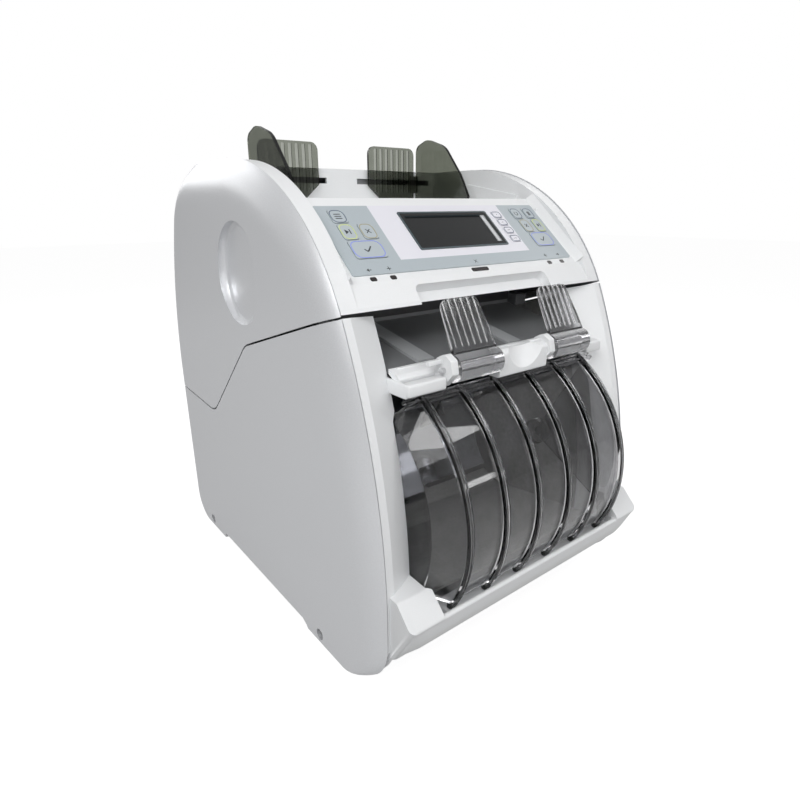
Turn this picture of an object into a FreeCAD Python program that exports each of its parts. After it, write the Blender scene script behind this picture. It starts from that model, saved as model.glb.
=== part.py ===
import FreeCAD, Part
import math
import os

V = FreeCAD.Vector

# Overall sizes (mm): X to the right, front faces -Y, Z up
WIDTH = 280.0
SIDE_DEPTH = 10.0
SEAM_X = WIDTH / 2 - SIDE_DEPTH
FRONT_Y = -160.0
REAR_Y = 177.0
TOP_Z = 358.9
COVER_Z = 6.0
WALL = 2.6

# Side outline: radii of the curves round the side covers
KNEE_Z = 70.0
LOW_FRONT_R = 470.0
UP_FRONT_R = 164.0
TOP_REAR_R = 60.0
REAR_R = 350.0
REAR_KNEE_Z = 165.0
LOW_CORNER_R = 44.0
REAR_CORNER_R = 30.0

# Split between the lower machine and the opening upper unit
SPLIT = [(90.9, 147.5), (6.7, 224.1), (-122.0, 263.1)]
SPLIT_REAR_Z = 152.0
SPLIT_GAP = 0.8
HINGE_Y = 176.0
HINGE_Z = SPLIT_REAR_Z
HINGE_R = 5.0

# Control panel on its sloped plane
PANEL_TOP = (-53.9, 324.5)
PANEL_SLOPE = 41.2
RAIL_IN = SEAM_X - 13.0
PANEL_HALF = RAIL_IN - 7.0
PANEL_LEN = 63.2
OVERLAY_T = 0.8
KEY_GAP = 0.4
KEY_RAISE = 0.5
GRIP_HALF = 67.0

# Steel side frames
FRAME_X = SEAM_X - 20.0
FRAME_T = 2.0

# Hopper guides
GUIDE_X = FRAME_X - 21.5
GUIDE_T = 3.0
PLATE_IN = 27.5
PLATE_OUT = GUIDE_X - 6.0
WALL_Y = 79.0
SLOT_Z = 347.7
SLOT_H = 5.0
GUIDE_TRAVEL = 25.0

# Stacker pocket and its door
DOOR_Y = -84.7
DOOR_Z = 121.0
DOOR_R = 100.0
DOOR_T = 2.4
DOOR_LOW = -30.0
DOOR_HIGH = 60.0
DOOR_HALF = FRAME_X - 8.0
DOOR_END = 18.75
DOOR_TAPER = 14.0
END_RIB = DOOR_HALF - DOOR_END
RIB_COUNT = 6
RIB_PITCH = 2 * END_RIB / (RIB_COUNT - 1)
RIB_H = 3.0
RIB_W = 4.4
LINER_R = DOOR_R - DOOR_TAPER - DOOR_T - 1.6

# Reject pocket
POCKET_HALF = DOOR_HALF - 3.0
STOP_Y = -141.5
STOP_Z = DOOR_Z + DOOR_R + 3.0
STOP_R = 9.6
FLUTES = 7
STOP_W = 40.0
STOP_LEFT = [-61.5, 36.5]
FLOOR_FRONT = (-138.0, STOP_Z - 3.0)
FLOOR_REAR = (-46.0, STOP_Z + 16.0)

# Shafts and drive
SHAFT_R = 4.0
RUN_GAP = 0.05
MOTOR_YZ = (100.0, 60.0)
WHEEL_YZ = (4.0, 150.0)
ROLLER_YZ = (52.0, 148.0)
PICKUP_YZ = (10.0, 296.0)
PULLEY_R = 10.0

CENTRE_SHIFT = -((DOOR_Y - DOOR_R - RIB_H) + (HINGE_Y + HINGE_R)) / 2


def box(x0, x1, y0, y1, z0, z1):
    return Part.makeBox(x1 - x0, y1 - y0, z1 - z0, V(x0, y0, z0))


def cyl_x(y, z, r, x0, x1):
    return Part.makeCylinder(r, x1 - x0, V(x0, y, z), V(1, 0, 0))


def cyl_y(x, z, r, y0, y1):
    return Part.makeCylinder(r, y1 - y0, V(x, y0, z), V(0, 1, 0))


def cyl_z(x, y, r, z0, z1):
    return Part.makeCylinder(r, z1 - z0, V(x, y, z0), V(0, 0, 1))


def fuse(shapes):
    first = shapes[0]
    return first.multiFuse(shapes[1:]).removeSplitter() if len(shapes) > 1 else first


def cut(shape, tools):
    for tool in tools:
        shape = shape.cut(tool)
    return shape


def mirror(shape):
    return shape.mirror(V(0, 0, 0), V(1, 0, 0))


# A closed wire through points, with a rounding at each corner
def rounded(points, radii):
    count = len(points)
    edges = []
    starts = []
    ends = []
    mids = []
    for i in range(count):
        p, a, b = points[i], points[i - 1], points[(i + 1) % count]
        r = radii[i] if isinstance(radii, list) else radii
        to_a = a.sub(p).normalize()
        to_b = b.sub(p).normalize()
        half = to_a.getAngle(to_b) / 2
        if r <= 0 or abs(half - math.pi / 2) < 1e-3:
            starts.append(p)
            ends.append(p)
            mids.append(None)
            continue
        run = r / math.tan(half)
        middle = to_a.add(to_b).normalize()
        starts.append(p.add(to_a.multiply(run)))
        ends.append(p.add(to_b.multiply(run)))
        mids.append(p.add(middle.multiply(r / math.sin(half) - r)))
    for i in range(count):
        if mids[i] is not None:
            edges.append(Part.Arc(starts[i], mids[i], ends[i]).toShape())
        nxt = starts[(i + 1) % count]
        if ends[i].distanceToPoint(nxt) > 1e-6:
            edges.append(Part.makeLine(ends[i], nxt))
    return Part.Wire(edges)


# A solid with its section in the YZ plane, run along X
def prism(points, x0, x1, radii=0.0):
    wire = rounded([V(x0, y, z) for y, z in points], radii)
    return Part.Face(wire).extrude(V(x1 - x0, 0, 0))


# Side outline moved inwards by separate amounts at front and top, rear, and bottom
def outline(x, inset, rear=None, bottom=None):
    rear = inset if rear is None else rear
    bottom = inset if bottom is None else bottom
    low_r = LOW_FRONT_R - inset
    up_r = UP_FRONT_R - inset
    top = TOP_Z - inset
    back_r = REAR_R - rear
    top_r = max(TOP_REAR_R - inset, 4.0)
    corner = max(LOW_CORNER_R - inset, 4.0)
    heel = max(REAR_CORNER_R - rear, 4.0)
    front = FRONT_Y + inset
    back = REAR_Y - rear
    base = COVER_Z + bottom
    c_low = (front + low_r, KNEE_Z)
    c_up_z = top - up_r
    rise = c_up_z - KNEE_Z
    c_up = (c_low[0] - math.sqrt((low_r - up_r) ** 2 - rise ** 2), c_up_z)
    c_back = (back - back_r, REAR_KNEE_Z)
    c_top_z = top - top_r
    lift = c_top_z - REAR_KNEE_Z
    c_top = (c_back[0] + math.sqrt((back_r - top_r) ** 2 - lift ** 2), c_top_z)

    def on(centre, radius, angle):
        return V(x, centre[0] + radius * math.cos(angle), centre[1] + radius * math.sin(angle))

    knee = math.atan2(c_up[1] - c_low[1], c_up[0] - c_low[0])
    nape = math.atan2(c_top[1] - c_back[1], c_top[0] - c_back[0])
    c_corner = (front + corner, base + corner)
    c_heel = (back - heel, base + heel)

    def arc(centre, radius, a0, a1):
        return Part.Arc(on(centre, radius, a0), on(centre, radius, (a0 + a1) / 2), on(centre, radius, a1)).toShape()

    half = math.pi / 2
    edges = [
        Part.makeLine(V(x, front, base + corner), V(x, front, KNEE_Z)),
        arc(c_low, low_r, math.pi, knee),
        arc(c_up, up_r, knee, half),
        Part.makeLine(V(x, c_up[0], top), V(x, c_top[0], top)),
        arc(c_top, top_r, half, nape),
        arc(c_back, back_r, nape, 0),
        Part.makeLine(V(x, back, REAR_KNEE_Z), V(x, back, base + heel)),
        arc(c_heel, heel, 0, -half),
        Part.makeLine(V(x, back - heel, base), V(x, front + corner, base)),
        arc(c_corner, corner, -half, -math.pi),
    ]
    return Part.Wire(edges)


def slab(inset, x0, x1, rear=None, bottom=None):
    return Part.Face(outline(x0, inset, rear, bottom)).extrude(V(x1 - x0, 0, 0))


# Everything above the split line, moved up or down by a gap
def above(shift):
    fall = (SPLIT_REAR_Z - SPLIT[0][1]) / (HINGE_Y - SPLIT[0][0])
    rear = (260.0, SPLIT_REAR_Z + fall * (260.0 - HINGE_Y) + shift)
    points = [rear] + [(y, z + shift) for y, z in SPLIT]
    points += [(-260.0, SPLIT[-1][1] + shift), (-260.0, 500.0), (260.0, 500.0)]
    return prism(points, -200, 200, [0, 9.0, 16.0, 0, 0, 0, 0])


UPPER = above(SPLIT_GAP / 2)
LOWER_CUT = above(-SPLIT_GAP / 2)

parts = {}

# Side covers: one hollow shell per side, then split into an upper and a lower cover
side_x = WIDTH / 2
skin = Part.makeLoft([outline(SEAM_X, 0, 0, 0), outline(SEAM_X + 3.2, 4.0, 1.0, 0.6),
                      outline(side_x, 25.0, 4.5, 2.0)], True, True)
hollow = Part.makeLoft([outline(SEAM_X - 0.1, WALL, WALL, WALL), outline(SEAM_X + 1.6, 7.0, 4.0, WALL + 1),
                        outline(side_x - WALL, 28.0, 7.5, WALL + 2)], True, True)
shell = skin.cut(hollow)
arch = prism([(104.0, 0.0), (104.0, 10.0), (100.0, 13.0), (-58.0, 13.0), (-64.0, 10.0), (-72.0, 0.0)], 100, 160)
shell = shell.cut(arch)
grip_y, grip_z, grip_r, grip_deep = 7.0, 278.0, 38.0, 7.5
low_screws = [(-85.0, 15.0), (134.0, 15.0)]


def boss(y, z, reach):
    return cyl_x(y, z, 6.0, reach, side_x - WALL + 0.5)


frame_out = FRAME_X + FRAME_T
lower = shell.cut(LOWER_CUT)
lower = fuse([lower] + [boss(y, z, frame_out) for y, z in low_screws + [(-100.0, 150.0), (120.0, 120.0)]])
for y, z in low_screws:
    lower = cut(lower, [cyl_x(y, z, 4.6, side_x - 5, side_x + 1), cyl_x(y, z, 1.7, 100, side_x)])
upper = shell.common(UPPER).cut(box(100, 150, HINGE_Y - 1.5, 200, 100, HINGE_Z + 2.8))
grip_back, grip_front = grip_y + grip_r + 2.0, grip_y - 29.0
wedge_pts = [V(side_x - grip_deep, grip_back, grip_z - 60), V(side_x, grip_front, grip_z - 60),
             V(side_x + 9, grip_front, grip_z - 60), V(side_x + 9, grip_back, grip_z - 60)]
dish = Part.Face(rounded(wedge_pts, 0)).extrude(V(0, 0, 120))
dish = dish.common(cyl_x(grip_y, grip_z, grip_r, side_x - 20, side_x + 8))
upper_in = [boss(60.0, 215.0, frame_out), boss(60.0, 315.0, frame_out), boss(-20.0, 275.0, frame_out)]
back_dish = cyl_x(grip_y, grip_z, grip_r + 2.6, side_x - grip_deep - WALL, side_x - 1.4)
upper = fuse([upper, back_dish] + upper_in).cut(dish)
parts["lower_right_cover"] = lower
parts["lower_left_cover"] = mirror(lower)
parts["upper_right_cover"] = upper
parts["upper_left_cover"] = mirror(upper)

# Cover screws, one group
screws = []
for y, z in low_screws:
    one = cyl_x(y, z, 3.6, side_x - 5, side_x - 2.6).fuse(cyl_x(y, z, 1.65, frame_out, side_x - 4))
    one = cut(one, [box(side_x - 3.4, side_x, y - 0.5, y + 0.5, z - 2.4, z + 2.4),
                    box(side_x - 3.4, side_x, y - 2.4, y + 2.4, z - 0.5, z + 0.5)])
    screws += [one, mirror(one)]
parts["cover_screws"] = Part.makeCompound(screws)

# Base plate, feet and the two steel side frames
base_top = COVER_Z + 6
base_plate = box(-frame_out, frame_out, -125, 160, base_top - 2, base_top)
parts["base_plate"] = base_plate
feet = [cyl_z(x, y, 9.0, 0, base_top - 2) for x in (-98.0, 98.0) for y in (-88.0, 126.0)]
parts["rubber_feet"] = Part.makeCompound(feet)
frame = slab(27.0, FRAME_X, frame_out, 12.0, 6.0).cut(above(-4.0))
door_hole = cyl_x(DOOR_Y, DOOR_Z, SHAFT_R + RUN_GAP, FRAME_X - 1, frame_out + 1)
holes = [cyl_x(y, z, SHAFT_R + RUN_GAP, FRAME_X - 1, frame_out + 1) for y, z in (WHEEL_YZ, ROLLER_YZ)]
frame = cut(frame, [door_hole] + holes)
parts["right_frame"] = frame
parts["left_frame"] = mirror(frame)

# Front bezel: two curved columns joined by the chin
white_x = SEAM_X - 0.4
column = Part.makeLoft([outline(white_x, 0.8), outline(white_x - 6, 1.4), outline(POCKET_HALF, 13.0)], True, True)
column = column.cut(slab(26.0, POCKET_HALF - 1, SEAM_X + 1))
column = column.cut(above(-SPLIT_GAP / 2))
column = column.common(box(60, 180, -260, -100, COVER_Z + 4, 400))
column = column.cut(box(60, frame_out + 2, -140, 0, 0, 56))
tabs = [box(frame_out, frame_out + 4, -150, -100, z, z + 16) for z in (60.0, 175.0)]
tabs = [t.common(slab(14.0, 60, 180)) for t in tabs]
column = fuse([column] + tabs)
chin_front, chin_z, chin_low = DOOR_Y - DOOR_R + 3.7, DOOR_Z - DOOR_R / 2, 36.5
chin_half = SEAM_X - 2.5
chin = prism([(chin_front, chin_z), (-160.0, chin_low), (-146.0, chin_low), (-146.0, 58.0), (-152.0, chin_z)],
             -chin_half, chin_half, [2.0, 3.0, 0, 0, 0])
cheek = prism([(-166.0, chin_z + 16.0), (chin_front, chin_z), (-160.0, chin_low), (-148.0, chin_low),
               (-148.0, chin_z + 17.0)], POCKET_HALF, chin_half, [3.0, 2.0, 3.0, 0, 0])
recess = box(-POCKET_HALF, POCKET_HALF, chin_front + 4.2, -140, chin_z - 7.0, chin_z + 19.0)
recess = recess.makeFillet(5.0, [e for e in recess.Edges if abs(e.BoundBox.XLength) < 1e-6
                                 and abs(e.BoundBox.YLength) < 1e-6 and e.BoundBox.YMin < -150])
sweep_mid = cyl_x(DOOR_Y, DOOR_Z, DOOR_R + RIB_H + 1.0, -END_RIB - RIB_W, END_RIB + RIB_W)
sweep_end = Part.makeCone(DOOR_R + 1.6, DOOR_R - DOOR_TAPER + 0.9, DOOR_END + 1.0,
                          V(END_RIB, DOOR_Y, DOOR_Z), V(1, 0, 0))
sweep = fuse([sweep_mid, sweep_end, mirror(sweep_end)])
bezel = fuse([column, mirror(column), chin, cheek, mirror(cheek)])
bezel = cut(bezel, [recess, sweep])
parts["front_bezel"] = bezel

# Lower rear cover with vents and the inlet opening
rear = slab(0.8, -white_x, white_x).cut(slab(0.8 + WALL, -SEAM_X, SEAM_X))
rear = rear.common(box(-180, 180, 60, 200, COVER_Z + 8, SPLIT_REAR_Z - 3))
rear_tabs = [box(frame_out, frame_out + 4, 140, REAR_Y - 2, z, z + 14) for z in (40.0, 120.0)]
rear = fuse([rear] + rear_tabs + [mirror(t) for t in rear_tabs])
vents = [box(20 + 9 * i, 24 + 9 * i, 160, 190, 85, 125) for i in range(8)]
inlet_x, inlet_z = -70.0, 50.0
inlet_hole = box(inlet_x - 24, inlet_x + 24, 160, 190, inlet_z - 14, inlet_z + 14)
parts["rear_cover"] = cut(rear, vents + [inlet_hole])
inlet = box(inlet_x - 23.5, inlet_x + 23.5, 150, REAR_Y + 0.5, inlet_z - 13.5, inlet_z + 13.5)
flange = box(inlet_x - 27, inlet_x + 27, REAR_Y - 0.8, REAR_Y + 1.2, inlet_z - 17, inlet_z + 17)
socket = box(inlet_x - 21, inlet_x + 4, 160, 190, inlet_z - 9, inlet_z + 9)
pins = [box(inlet_x - 8.5 + dx - 1, inlet_x - 8.5 + dx + 1, 158, 172, inlet_z + dz - 2, inlet_z + dz + 2)
        for dx, dz in ((-7.0, -2.0), (0.0, 2.0), (7.0, -2.0))]
rocker_x = inlet_x + 15.0
rocker_hole = box(rocker_x - 6.5, rocker_x + 6.5, 164, 190, inlet_z - 9.5, inlet_z + 9.5)
rocker_y = REAR_Y - 2.5
pivot_hole = cyl_x(rocker_y, inlet_z, 1.5 + RUN_GAP, rocker_x - 8.0, rocker_x + 8.0)
inlet = cut(fuse([inlet, flange]), [socket, rocker_hole, pivot_hole])
parts["power_inlet"] = fuse([inlet] + pins)
rocker = prism([(rocker_y - 4, inlet_z - 6), (rocker_y + 3.5, inlet_z - 8.6), (rocker_y + 2.4, inlet_z),
                (rocker_y + 3.5, inlet_z + 8.6), (rocker_y - 4, inlet_z + 6)], rocker_x - 6, rocker_x + 6)
parts["power_rocker"] = rocker.fuse(cyl_x(rocker_y, inlet_z, 1.5, rocker_x - 7.8, rocker_x + 7.8))

# Door of the stacker pocket: a ribbed barrel sector with DOOR_TAPERed ends
def sector(r_out, r_in, a0, a1, x0, x1, centre=(DOOR_Y, DOOR_Z)):
    def at(r, a):
        t = math.radians(a)
        return V(x0, centre[0] - r * math.cos(t), centre[1] + r * math.sin(t))
    mid = (a0 + a1) / 2
    wire = Part.Wire([
        Part.Arc(at(r_out, a0), at(r_out, mid), at(r_out, a1)).toShape(),
        Part.makeLine(at(r_out, a1), at(r_in, a1)),
        Part.Arc(at(r_in, a1), at(r_in, mid), at(r_in, a0)).toShape(),
        Part.makeLine(at(r_in, a0), at(r_out, a0))])
    return Part.Face(wire).extrude(V(x1 - x0, 0, 0))


rib_xs = [RIB_PITCH * (i - (RIB_COUNT - 1) / 2) for i in range(RIB_COUNT)]
barrel = sector(DOOR_R, DOOR_R - DOOR_T, DOOR_LOW, DOOR_HIGH, -END_RIB, END_RIB)
cone_out = Part.makeCone(DOOR_R, DOOR_R - DOOR_TAPER, DOOR_HALF - END_RIB, V(END_RIB, DOOR_Y, DOOR_Z), V(1, 0, 0))
cone_in = Part.makeCone(DOOR_R - DOOR_T, DOOR_R - DOOR_TAPER - DOOR_T, DOOR_HALF - END_RIB,
                        V(END_RIB, DOOR_Y, DOOR_Z), V(1, 0, 0))
wedge = sector(DOOR_R + 10, 20.0, DOOR_LOW, DOOR_HIGH, END_RIB, DOOR_HALF)
cone = cone_out.cut(cone_in).common(wedge)
arm_x = DOOR_HALF - 2.0
arm = sector(DOOR_R - DOOR_TAPER + 0.3, 8.0, DOOR_LOW, DOOR_HIGH, arm_x, DOOR_HALF)
hub = cyl_x(DOOR_Y, DOOR_Z, 12.0, arm_x, FRAME_X - 1.0)
axle = cyl_x(DOOR_Y, DOOR_Z, SHAFT_R, arm_x, frame_out)
ends = [cone, arm, hub, axle]
ribs = []
for x in rib_xs:
    ribs.append(sector(DOOR_R + RIB_H, DOOR_R - 0.6, DOOR_LOW - 2.6, DOOR_HIGH, x - RIB_W / 2, x + RIB_W / 2)
                .cut(sector(DOOR_R + RIB_H + 1, DOOR_R + RIB_H - 1, DOOR_LOW, DOOR_HIGH + 1, x - 0.9, x + 0.9)))
rail = sector(DOOR_R + 2.2, DOOR_R - DOOR_T, DOOR_HIGH - 3.2, DOOR_HIGH, -POCKET_HALF + 1.5, POCKET_HALF - 1.5)
rail = rail.cut(sector(DOOR_R + 4, DOOR_R + 1, DOOR_HIGH - 2.2, DOOR_HIGH - 1.0, -DOOR_HALF, DOOR_HALF))
door = fuse([barrel] + ends + [mirror(e) for e in ends] + ribs + [rail])
parts["stacker_door"] = door

# Stacker pocket: curved back plate, floor, wheels
liner = sector(LINER_R, LINER_R - 1.5, 64.0, 222.0, -POCKET_HALF + 1, POCKET_HALF - 1)
wheel_xs = (-45.0, 45.0)
liner = cut(liner, [cyl_x(WHEEL_YZ[0], WHEEL_YZ[1], 30.0, x - 7, x + 7) for x in wheel_xs])
lug = box(POCKET_HALF - 3, FRAME_X, DOOR_Y + LINER_R - 6, DOOR_Y + LINER_R + 8, 100, 112)
lug = lug.cut(cyl_x(DOOR_Y, DOOR_Z, LINER_R - 1, 60, 160))
parts["stacker_back"] = fuse([liner, lug, mirror(lug)])
floor_pts = [(-150.0, 62.0), (-40.0, 50.0), (-24.0, 58.0), (-24.0, 61.0), (-40.0, 53.0), (-150.0, 64.0)]
floor = prism(floor_pts, -POCKET_HALF + 1, POCKET_HALF - 1)
floor = floor.cut(sector(DOOR_R + 6, DOOR_R - DOOR_T - 1.0, DOOR_LOW - 12, 60, -120, 120))
floor = floor.cut(cyl_x(DOOR_Y, DOOR_Z, LINER_R + 0.05, -120, 120).cut(box(-130, 130, -200, -38, 0, 200)))
legs = [box(x, x + 12, -110, -60, base_top, 54) for x in (-90.0, 78.0)]
parts["stacker_floor"] = fuse([floor] + legs)
wheel = cyl_x(WHEEL_YZ[0], WHEEL_YZ[1], SHAFT_R, -frame_out, frame_out)
for x in wheel_xs:
    wheel = wheel.fuse(cyl_x(WHEEL_YZ[0], WHEEL_YZ[1], 12.0, x - 4, x + 4))
    for k in range(8):
        fin = box(x - 3.5, x + 3.5, WHEEL_YZ[0] - 0.8, WHEEL_YZ[0] + 0.8, WHEEL_YZ[1] + 10, WHEEL_YZ[1] + 27)
        fin.rotate(V(x, WHEEL_YZ[0], WHEEL_YZ[1]), V(1, 0, 0), 45 * k)
        wheel = wheel.fuse(fin)
pulley_x = -FRAME_X + 4
wheel = wheel.fuse(cyl_x(WHEEL_YZ[0], WHEEL_YZ[1], PULLEY_R, pulley_x, pulley_x + 6))
parts["stacker_wheels"] = wheel
roller = cyl_x(ROLLER_YZ[0], ROLLER_YZ[1], SHAFT_R, -frame_out, frame_out)
for x in (-60.0, 0.0, 60.0):
    roller = roller.fuse(cyl_x(ROLLER_YZ[0], ROLLER_YZ[1], 13.0, x - 12, x + 12))
roller = roller.fuse(cyl_x(ROLLER_YZ[0], ROLLER_YZ[1], PULLEY_R, pulley_x, pulley_x + 6))
parts["transport_roller"] = roller

# Motor on its bracket, motor pulley and belt
my, mz = MOTOR_YZ
motor = cyl_x(my, mz, 22.0, -96, -40).fuse(box(-98, -96, my - 26, my + 26, base_top, mz + 26))
motor = motor.cut(cyl_x(my, mz, SHAFT_R + RUN_GAP, -99, -70))
parts["main_motor"] = motor
parts["motor_pulley"] = fuse([cyl_x(my, mz, SHAFT_R, pulley_x, -72), cyl_x(my, mz, PULLEY_R, pulley_x, pulley_x + 6)])
loop = [V(pulley_x + 1, y, z) for y, z in (MOTOR_YZ, WHEEL_YZ, ROLLER_YZ)]
tri = Part.Face(Part.makePolygon(loop + [loop[0]]))
belt = tri.makeOffset2D(PULLEY_R + 1.3).extrude(V(4, 0, 0)).cut(tri.makeOffset2D(PULLEY_R + 0.1).extrude(V(4, 0, 0)))
parts["drive_belt"] = belt

# Boards and supply
board = box(-40, 100, 40, 130, base_top + 8, base_top + 9.6)
posts = [cyl_z(x, y, 3.0, base_top, base_top + 8) for x in (-34.0, 94.0) for y in (46.0, 124.0)]
chips = [box(x, x + 18, y, y + 14, base_top + 9.6, base_top + 12.5) for x in (-20.0, 20.0, 60.0) for y in (55.0, 95.0)]
parts["control_board"] = fuse([board] + posts + chips)
parts["power_supply"] = box(0, 100, 132, 158, base_top, base_top + 60)

# Reject pocket: white shelf, sloped dark floor, guide arms and stopper brackets
shelf = prism([(-132.5, STOP_Z - 14.0), (-133.0, STOP_Z - 2.5), (-130.0, STOP_Z - 0.5), (-121.9, STOP_Z + 2.0),
               (-121.9, STOP_Z - 1.0), (-127.0, STOP_Z - 4.5), (-128.0, STOP_Z - 14.0)],
              -POCKET_HALF + 0.4, POCKET_HALF - 0.4, [0, 1.5, 2, 0, 0, 0, 0])
dish_x0, dish_x1 = STOP_LEFT[0] + STOP_W + 0.6, STOP_LEFT[1] - 7.0
dished = prism([(-146.5, STOP_Z - 13.0), (-147.0, STOP_Z + 4.0), (-141.0, STOP_Z + 6.5), (-130.5, STOP_Z - 1.0),
                (-131.0, STOP_Z - 13.0)], dish_x0, dish_x1, [1.5, 3.0, 3.0, 0, 0])
hollow_x = (dish_x0 + dish_x1) / 2
dished = dished.cut(Part.makeSphere(24.0, V(hollow_x + 1.0, -162.0, STOP_Z + 9.0)))
door_room = cyl_x(DOOR_Y, DOOR_Z, DOOR_R + RIB_H + 1.0, -150, 150)
stop_shafts = [cyl_x(STOP_Y, STOP_Z, STOP_R + 1.0, x - 0.6, x + STOP_W + 0.6) for x in STOP_LEFT]
shelf = cut(shelf, stop_shafts)
f0, f1 = FLOOR_FRONT, FLOOR_REAR
pocket_top = SPLIT[-1][1] - 5.0
floor_z = FLOOR_FRONT[1] + (FLOOR_REAR[1] - FLOOR_FRONT[1]) * (-122 - f0[0]) / (f1[0] - f0[0])
pocket = prism([(-121.6, floor_z), (f1[0], f1[1]), (f1[0], pocket_top), (f1[0] + 1.6, pocket_top), (f1[0] + 1.6, f1[1] - 1.6),
                (-121.6, floor_z - 1.6)], -POCKET_HALF + 0.4, POCKET_HALF - 0.4)
pocket_tabs = [box(POCKET_HALF - 2, FRAME_X, f1[0] - 10, f1[0] + 1.6, f1[1] - 1.6, f1[1] + 8)]
pocket = fuse([pocket] + pocket_tabs + [mirror(t) for t in pocket_tabs])
parts["reject_pocket"] = pocket
shelf_tab = box(-POCKET_HALF + 6, POCKET_HALF - 6, -124.0, -121.6, STOP_Z - 4.0, STOP_Z + 2.0)
big_ear = prism([(-149.5, STOP_Z - 2.0), (-147.5, STOP_Z + 7.0), (-141.0, STOP_Z + 10.5), (-134.0, STOP_Z + 7.0),
                 (-131.5, STOP_Z - 8.0), (-140.0, STOP_Z - 12.0)], 0, 6.0, [2, 2, 2, 2, 0, 2])
small_ear = prism([(-147.0, STOP_Z - 2.0), (-146.0, STOP_Z + 4.0), (-141.0, STOP_Z + 7.0), (-135.0, STOP_Z + 4.0),
                   (-131.5, STOP_Z - 4.0), (-131.5, STOP_Z - 8.0), (-138.0, STOP_Z - 10.5)], 0, 4.0)
ears = []
rods = []
for x in STOP_LEFT:
    left_ear = big_ear.copy()
    left_ear.translate(V(x - 7.0, 0, 0))
    ears.append(left_ear)
    rods.append(cyl_x(STOP_Y, STOP_Z, 2.0, x - 10.0, x + STOP_W + 5.0))
right_ear = small_ear.copy()
right_ear.translate(V(STOP_LEFT[1] + STOP_W + 0.8, 0, 0))
brackets = fuse([shelf, shelf_tab, dished, right_ear] + ears)
brackets = cut(brackets, rods + [door_room])
parts["pocket_shelf"] = brackets
parts["stopper_rods"] = Part.makeCompound(rods)
arms = []
for x in (-72.0, 16.0):
    arm_a = box(0, 14.0, 0, 84.0, 0, 2.0)
    arm_a.rotate(V(0, 0, 0), V(1, 0, 0), math.degrees(math.atan2(f1[1] - f0[1], f1[0] - f0[0])))
    arm_a.translate(V(x, -124.0, floor_z - 0.5))
    arms.append(arm_a.common(prism([(-120, 200), (-120, 262), (f1[0], 262), (f1[0], 200)], -100, 100))
                .cut(pocket))
parts["pocket_arms"] = Part.makeCompound(arms)


# Reject stoppers: ribbed flags on a barrel, sprung
def stopper(x):
    top_y, top_z = STOP_Y + 16.0, SPLIT[-1][1] + 3.6
    low_y, low_z = STOP_Y - 2.5, STOP_Z + STOP_R - 1.5
    barrel_s = cyl_x(STOP_Y, STOP_Z, STOP_R, x, x + STOP_W)
    corners = [V(x, low_y, low_z), V(x + STOP_W, low_y, low_z), V(x + STOP_W - 3, top_y, top_z), V(x + 3, top_y, top_z)]
    span = V(0, top_y - low_y, top_z - low_z).normalize()
    inward = V(0, span.z, -span.y)
    flag = Part.Face(rounded(corners, [0, 0, 7.0, 7.0])).extrude(inward * 2.6)
    root = prism([(low_y, low_z), (low_y + inward.y * 2.6, low_z + inward.z * 2.6), (STOP_Y + 2, STOP_Z), (STOP_Y - 2, STOP_Z)],
                 x, x + STOP_W)
    flutes = []
    for i in range(FLUTES):
        gx = x + STOP_W * (i + 0.5) / FLUTES
        mid = V(gx, low_y, low_z) + span * 6.0 - inward * 1.1
        flutes.append(Part.makeCylinder(2.0, 60.0, mid, span))
    body = cut(fuse([flag, root, barrel_s]), flutes)
    return body.cut(cyl_x(STOP_Y, STOP_Z, 2.0 + RUN_GAP, x - 1, x + STOP_W + 1))


parts["left_stopper"] = stopper(STOP_LEFT[0])
parts["right_stopper"] = stopper(STOP_LEFT[1])

# Control panel: plane coordinates are x, then v down the slope, then n outwards
slope_a = math.radians(PANEL_SLOPE)
DOWN = V(0, -math.cos(slope_a), -math.sin(slope_a))
OUT = V(0, -math.sin(slope_a), math.cos(slope_a))
ORIGIN = V(0, PANEL_TOP[0], PANEL_TOP[1])


def on_panel(x, v, n):
    return ORIGIN + V(x, 0, 0) + DOWN * v + OUT * n


def tile(x0, x1, v0, v1, n0, n1, radius=0.0):
    corners = [on_panel(x0, v0, n0), on_panel(x1, v0, n0), on_panel(x1, v1, n0), on_panel(x0, v1, n0)]
    return Part.Face(rounded(corners, radius)).extrude(OUT * (n1 - n0))


west, east = -PANEL_HALF, PANEL_HALF
keys = {
    "key_menu": (west + 9.0, west + 21.0, 4.6, 16.6), "key_left_start": (west + 10.0, west + 21.2, 18.2, 32.2),
    "key_left_clear": (west + 26.0, west + 37.6, 18.2, 32.2),
    "key_left_accept": (west + 10.4, west + 35.4, 33.8, 49.4),
    "key_f1": (53.0, 63.0, 8.2, 15.2), "key_f2": (53.6, 63.6, 17.0, 24.0),
    "key_f3": (54.0, 64.0, 26.0, 33.0), "key_f4": (54.4, 64.4, 35.4, 42.4),
    "key_right_mode": (east - 32.8, east - 21.8, 4.8, 16.8), "key_right_batch": (east - 16.8, east - 5.8, 4.8, 16.8),
    "key_right_clear": (east - 31.1, east - 20.1, 18.2, 32.4),
    "key_right_start": (east - 15.0, east - 4.6, 18.2, 32.4),
    "key_right_accept": (east - 29.8, east - 6.8, 33.8, 48.9),
}
key_low = -3.0
panel_front = on_panel(0, PANEL_LEN + 5.5, 0)
lip = (-116.5, 265.6)

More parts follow.
